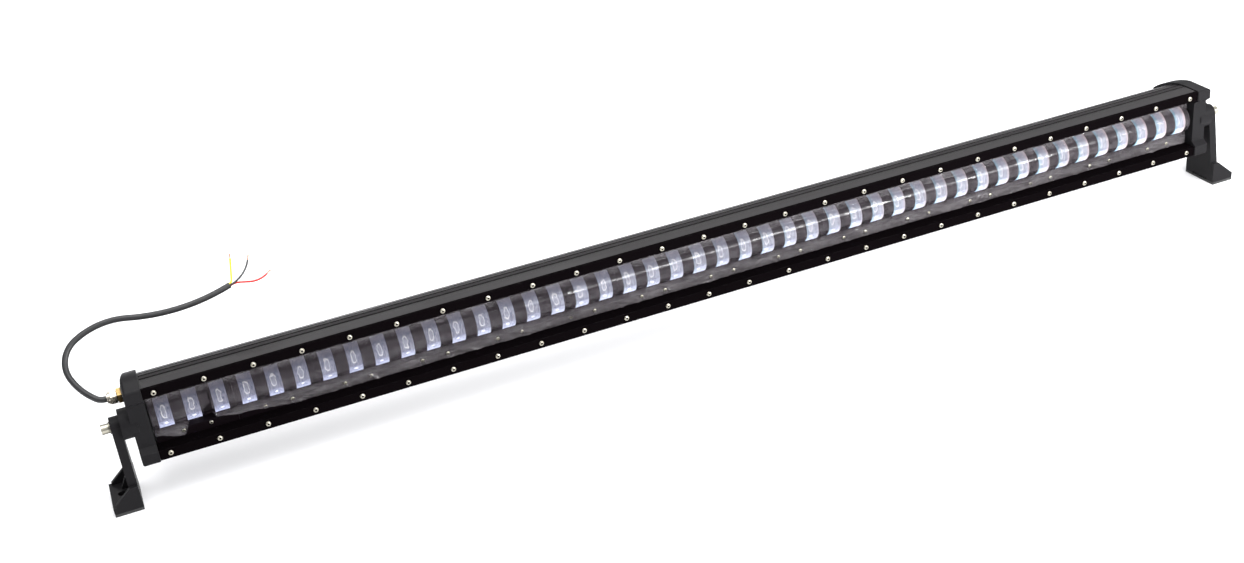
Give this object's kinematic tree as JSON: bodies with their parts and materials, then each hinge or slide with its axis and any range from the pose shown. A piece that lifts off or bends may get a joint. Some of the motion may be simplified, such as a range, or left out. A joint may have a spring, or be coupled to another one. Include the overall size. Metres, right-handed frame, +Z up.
{
  "type": "led light bar",
  "caption": "Long slim single-row LED light bar with tinted half-round lens, finned black housing, cast end caps and a pair of tilting cast side brackets.",
  "frame": {"origin": "on the mounting surface, half way between the holes in the two bracket feet, straight below the tilt axis", "axes": "+X along the bar to its right end, -Y out of the lit front, +Z up, away from the bracket feet"},
  "size_m": [1.342, 0.121, 0.1867],
  "materials": {
    "anodised_black": "satin black powder coat on an aluminium extrusion",
    "bezel_black": "semi-gloss black powder coat",
    "cast_black": "matt black powder coat on cast aluminium",
    "stainless": "bright stainless",
    "tinted_plastic": "glossy dark tinted polycarbonate",
    "clear_plastic": "clear polycarbonate",
    "silicone_grey": "matt silicone",
    "metallised": "vacuum-metallised plastic",
    "led_phosphor": "phosphor",
    "board_white": "white solder mask",
    "board_green": "green solder mask",
    "link_wire": "insulated wire",
    "ferrite": "ferrite and enamelled winding",
    "capacitor_sleeve": "shrink sleeve",
    "chip_black": "moulded epoxy",
    "brass": "machined brass",
    "nickel": "nickel-plated brass",
    "rubber_black": "matt rubber",
    "cable_rubber": "satin rubber jacket",
    "wire_yellow": "PVC",
    "wire_black": "PVC",
    "wire_red": "PVC",
    "copper": "tinned copper strands"
  },
  "bodies": {
    "brackets": {"left_bracket": "cast_black", "right_bracket": "cast_black", "left_bracket_pad": "rubber_black", "right_bracket_pad": "rubber_black"},
    "bar": {"housing": "anodised_black", "top_bezel": "bezel_black", "bottom_bezel": "bezel_black", "bezel_screws": "stainless", "lens_plates": "tinted_plastic", "lens_windows": "clear_plastic", "lens_screws": "stainless", "top_lens_seal": "silicone_grey", "bottom_lens_seal": "silicone_grey", "reflectors": "metallised", "led_packages": "led_phosphor", "led_boards": "board_white", "led_board_screws": "stainless", "board_links": "link_wire", "driver_board": "board_green", "driver_inductors": "ferrite", "driver_capacitors": "capacitor_sleeve", "driver_transistors": "chip_black", "driver_standoffs": "brass", "driver_screws": "stainless", "feed_wires": "wire_red", "left_end_cap": "cast_black", "right_end_cap": "cast_black", "left_cap_gasket": "rubber_black", "right_cap_gasket": "rubber_black", "left_cap_screws": "stainless", "right_cap_screws": "stainless", "gland_body": "brass", "gland_nut": "nickel", "gland_seal": "rubber_black", "gland_locknut": "brass", "cable_jacket": "cable_rubber", "wire_yellow": "wire_yellow", "wire_black": "wire_black", "wire_red": "wire_red", "wire_tips": "copper", "left_pivot_bolt": "stainless", "right_pivot_bolt": "stainless", "left_spring_washer": "stainless", "right_spring_washer": "stainless", "left_flat_washer": "stainless", "right_flat_washer": "stainless"}
  },
  "joints": [
    {"name": "bar_tilt", "type": "hinge", "parent": "brackets", "child": "bar", "pos_m": [0, 0, 0.085], "axis": [1, 0, 0], "range_deg": [-75, 90]}
  ]
}
